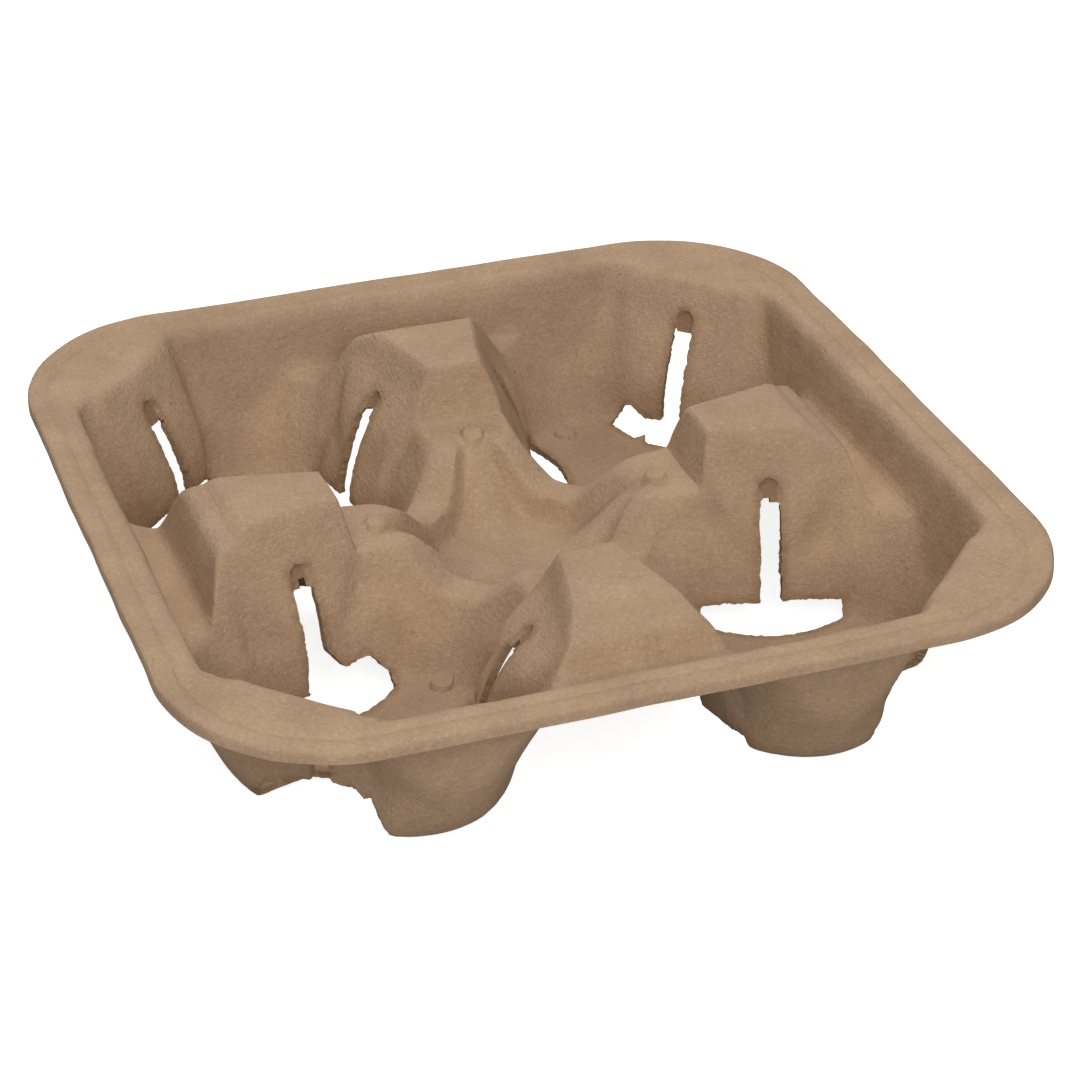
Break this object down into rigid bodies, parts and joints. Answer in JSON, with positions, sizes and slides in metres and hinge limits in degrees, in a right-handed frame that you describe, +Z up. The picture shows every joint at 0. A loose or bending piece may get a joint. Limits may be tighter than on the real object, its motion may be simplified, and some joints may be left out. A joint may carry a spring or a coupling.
{
  "type": "cup carrier tray",
  "caption": "Square moulded pulp tray with tapered three-sided cup wells, slotted pads that bend around a cup, posts between the wells and a rolled rim.",
  "frame": {"origin": "centre of the tray on the table plane, under the hub", "axes": "+Z up through the wells' open side; X and Y along the tray's sides, through the posts"},
  "size_m": [0.215, 0.215, 0.047],
  "materials": {
    "pulp": "matte"
  },
  "bodies": {
    "root": {"moulded_tray": "pulp"}
  },
  "joints": []
}
